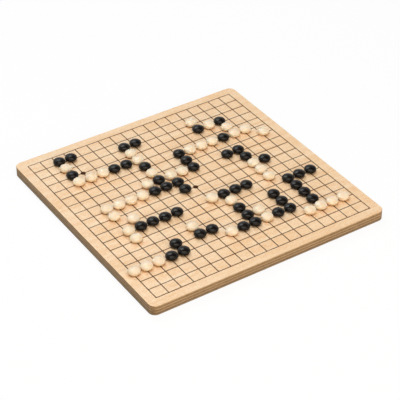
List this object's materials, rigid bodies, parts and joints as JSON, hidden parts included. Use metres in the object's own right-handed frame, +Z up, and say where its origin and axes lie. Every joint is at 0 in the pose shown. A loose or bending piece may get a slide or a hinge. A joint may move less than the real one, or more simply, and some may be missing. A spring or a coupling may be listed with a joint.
{
  "type": "weiqi set",
  "caption": "Weiqi set: a flat square plywood board with rounded corners and a painted playing grid, holding the black and white lens-shaped stones of a game in play.",
  "frame": {"origin": "centre of the board's underside, on the table", "axes": "+Z up; +X along the rows of the playing grid, from column A to column T; +Y along the columns, from row 1 to row 19"},
  "size_m": [0.45, 0.45, 0.0292],
  "materials": {
    "veneer": "pale beech-like veneer, sanded and clear lacquered, satin",
    "long_ply": "ply edge with the grain along X, sanded, satin",
    "cross_ply": "ply edge with the grain along Y, sanded, satin",
    "line_paint": "dark brown line paint, matt, flush with the face",
    "black_stone": "polished black glass",
    "white_stone": "milky white glass with faint cloudy bands, polished"
  },
  "bodies": {
    "board": {"back_veneer": "veneer", "cross_ply_lower": "cross_ply", "long_ply_lower": "long_ply", "cross_ply_middle": "cross_ply", "long_ply_upper": "long_ply", "cross_ply_upper": "cross_ply", "face_veneer": "veneer", "grid_lines": "line_paint", "star_points": "line_paint"},
    "black_chain_c18": {"black_chain_c18": "black_stone"},
    "black_chain_h17": {"black_chain_h17": "black_stone"},
    "black_stone_c16": {"black_stone_c16": "black_stone"},
    "black_stone_o16": {"black_stone_o16": "black_stone"},
    "black_stone_q16": {"black_stone_q16": "black_stone"},
    "black_chain_f15": {"black_chain_f15": "black_stone"},
    "black_stone_h14": {"black_stone_h14": "black_stone"},
    "black_chain_l14": {"black_chain_l14": "black_stone"},
    "black_stone_p14": {"black_stone_p14": "black_stone"},
    "black_chain_h12": {"black_chain_h12": "black_stone"},
    "black_chain_o12": {"black_chain_o12": "black_stone"},
    "black_stone_q10": {"black_stone_q10": "black_stone"},
    "black_chain_d8": {"black_chain_d8": "black_stone"},
    "black_chain_l8": {"black_chain_l8": "black_stone"},
    "black_chain_q7": {"black_chain_q7": "black_stone"},
    "black_chain_l6": {"black_chain_l6": "black_stone"},
    "black_chain_o6": {"black_chain_o6": "black_stone"},
    "black_chain_e5": {"black_chain_e5": "black_stone"},
    "black_chain_g5": {"black_chain_g5": "black_stone"},
    "white_stone_c17": {"white_stone_c17": "white_stone"},
    "white_stone_o17": {"white_stone_o17": "white_stone"},
    "white_chain_h16": {"white_chain_h16": "white_stone"},
    "white_stone_p16": {"white_stone_p16": "white_stone"},
    "white_chain_c15": {"white_chain_c15": "white_stone"},
    "white_chain_q15": {"white_chain_q15": "white_stone"},
    "white_chain_m14": {"white_chain_m14": "white_stone"},
    "white_stone_h13": {"white_stone_h13": "white_stone"},
    "white_stone_s13": {"white_stone_s13": "white_stone"},
    "white_stone_g12": {"white_stone_g12": "white_stone"},
    "white_chain_j12": {"white_chain_j12": "white_stone"},
    "white_chain_c11": {"white_chain_c11": "white_stone"},
    "white_chain_p10": {"white_chain_p10": "white_stone"},
    "white_stone_d9": {"white_stone_d9": "white_stone"},
    "white_chain_c8": {"white_chain_c8": "white_stone"},
    "white_stone_k8": {"white_stone_k8": "white_stone"},
    "white_stone_l7": {"white_stone_l7": "white_stone"},
    "white_stone_g6": {"white_stone_g6": "white_stone"},
    "white_chain_m5": {"white_chain_m5": "white_stone"},
    "white_chain_a4": {"white_chain_a4": "white_stone"},
    "white_stone_j4": {"white_stone_j4": "white_stone"},
    "white_chain_p3": {"white_chain_p3": "white_stone"}
  },
  "joints": [
    {"name": "lift_black_chain_c18", "type": "slide", "parent": "board", "child": "black_chain_c18", "axis": [0, 0, 1], "range_m": [0, 0.06]},
    {"name": "lift_black_chain_h17", "type": "slide", "parent": "board", "child": "black_chain_h17", "axis": [0, 0, 1], "range_m": [0, 0.06]},
    {"name": "lift_black_stone_c16", "type": "slide", "parent": "board", "child": "black_stone_c16", "axis": [0, 0, 1], "range_m": [0, 0.06]},
    {"name": "lift_black_stone_o16", "type": "slide", "parent": "board", "child": "black_stone_o16", "axis": [0, 0, 1], "range_m": [0, 0.06]},
    {"name": "lift_black_stone_q16", "type": "slide", "parent": "board", "child": "black_stone_q16", "axis": [0, 0, 1], "range_m": [0, 0.06]},
    {"name": "lift_black_chain_f15", "type": "slide", "parent": "board", "child": "black_chain_f15", "axis": [0, 0, 1], "range_m": [0, 0.06]},
    {"name": "lift_black_stone_h14", "type": "slide", "parent": "board", "child": "black_stone_h14", "axis": [0, 0, 1], "range_m": [0, 0.06]},
    {"name": "lift_black_chain_l14", "type": "slide", "parent": "board", "child": "black_chain_l14", "axis": [0, 0, 1], "range_m": [0, 0.06]},
    {"name": "lift_black_stone_p14", "type": "slide", "parent": "board", "child": "black_stone_p14", "axis": [0, 0, 1], "range_m": [0, 0.06]},
    {"name": "lift_black_chain_h12", "type": "slide", "parent": "board", "child": "black_chain_h12", "axis": [0, 0, 1], "range_m": [0, 0.06]},
    {"name": "lift_black_chain_o12", "type": "slide", "parent": "board", "child": "black_chain_o12", "axis": [0, 0, 1], "range_m": [0, 0.06]},
    {"name": "lift_black_stone_q10", "type": "slide", "parent": "board", "child": "black_stone_q10", "axis": [0, 0, 1], "range_m": [0, 0.06]},
    {"name": "lift_black_chain_d8", "type": "slide", "parent": "board", "child": "black_chain_d8", "axis": [0, 0, 1], "range_m": [0, 0.06]},
    {"name": "lift_black_chain_l8", "type": "slide", "parent": "board", "child": "black_chain_l8", "axis": [0, 0, 1], "range_m": [0, 0.06]},
    {"name": "lift_black_chain_q7", "type": "slide", "parent": "board", "child": "black_chain_q7", "axis": [0, 0, 1], "range_m": [0, 0.06]},
    {"name": "lift_black_chain_l6", "type": "slide", "parent": "board", "child": "black_chain_l6", "axis": [0, 0, 1], "range_m": [0, 0.06]},
    {"name": "lift_black_chain_o6", "type": "slide", "parent": "board", "child": "black_chain_o6", "axis": [0, 0, 1], "range_m": [0, 0.06]},
    {"name": "lift_black_chain_e5", "type": "slide", "parent": "board", "child": "black_chain_e5", "axis": [0, 0, 1], "range_m": [0, 0.06]},
    {"name": "lift_black_chain_g5", "type": "slide", "parent": "board", "child": "black_chain_g5", "axis": [0, 0, 1], "range_m": [0, 0.06]},
    {"name": "lift_white_stone_c17", "type": "slide", "parent": "board", "child": "white_stone_c17", "axis": [0, 0, 1], "range_m": [0, 0.06]},
    {"name": "lift_white_stone_o17", "type": "slide", "parent": "board", "child": "white_stone_o17", "axis": [0, 0, 1], "range_m": [0, 0.06]},
    {"name": "lift_white_chain_h16", "type": "slide", "parent": "board", "child": "white_chain_h16", "axis": [0, 0, 1], "range_m": [0, 0.06]},
    {"name": "lift_white_stone_p16", "type": "slide", "parent": "board", "child": "white_stone_p16", "axis": [0, 0, 1], "range_m": [0, 0.06]},
    {"name": "lift_white_chain_c15", "type": "slide", "parent": "board", "child": "white_chain_c15", "axis": [0, 0, 1], "range_m": [0, 0.06]},
    {"name": "lift_white_chain_q15", "type": "slide", "parent": "board", "child": "white_chain_q15", "axis": [0, 0, 1], "range_m": [0, 0.06]},
    {"name": "lift_white_chain_m14", "type": "slide", "parent": "board", "child": "white_chain_m14", "axis": [0, 0, 1], "range_m": [0, 0.06]},
    {"name": "lift_white_stone_h13", "type": "slide", "parent": "board", "child": "white_stone_h13", "axis": [0, 0, 1], "range_m": [0, 0.06]},
    {"name": "lift_white_stone_s13", "type": "slide", "parent": "board", "child": "white_stone_s13", "axis": [0, 0, 1], "range_m": [0, 0.06]},
    {"name": "lift_white_stone_g12", "type": "slide", "parent": "board", "child": "white_stone_g12", "axis": [0, 0, 1], "range_m": [0, 0.06]},
    {"name": "lift_white_chain_j12", "type": "slide", "parent": "board", "child": "white_chain_j12", "axis": [0, 0, 1], "range_m": [0, 0.06]},
    {"name": "lift_white_chain_c11", "type": "slide", "parent": "board", "child": "white_chain_c11", "axis": [0, 0, 1], "range_m": [0, 0.06]},
    {"name": "lift_white_chain_p10", "type": "slide", "parent": "board", "child": "white_chain_p10", "axis": [0, 0, 1], "range_m": [0, 0.06]},
    {"name": "lift_white_stone_d9", "type": "slide", "parent": "board", "child": "white_stone_d9", "axis": [0, 0, 1], "range_m": [0, 0.06]},
    {"name": "lift_white_chain_c8", "type": "slide", "parent": "board", "child": "white_chain_c8", "axis": [0, 0, 1], "range_m": [0, 0.06]},
    {"name": "lift_white_stone_k8", "type": "slide", "parent": "board", "child": "white_stone_k8", "axis": [0, 0, 1], "range_m": [0, 0.06]},
    {"name": "lift_white_stone_l7", "type": "slide", "parent": "board", "child": "white_stone_l7", "axis": [0, 0, 1], "range_m": [0, 0.06]},
    {"name": "lift_white_stone_g6", "type": "slide", "parent": "board", "child": "white_stone_g6", "axis": [0, 0, 1], "range_m": [0, 0.06]},
    {"name": "lift_white_chain_m5", "type": "slide", "parent": "board", "child": "white_chain_m5", "axis": [0, 0, 1], "range_m": [0, 0.06]},
    {"name": "lift_white_chain_a4", "type": "slide", "parent": "board", "child": "white_chain_a4", "axis": [0, 0, 1], "range_m": [0, 0.06]},
    {"name": "lift_white_stone_j4", "type": "slide", "parent": "board", "child": "white_stone_j4", "axis": [0, 0, 1], "range_m": [0, 0.06]},
    {"name": "lift_white_chain_p3", "type": "slide", "parent": "board", "child": "white_chain_p3", "axis": [0, 0, 1], "range_m": [0, 0.06]}
  ]
}
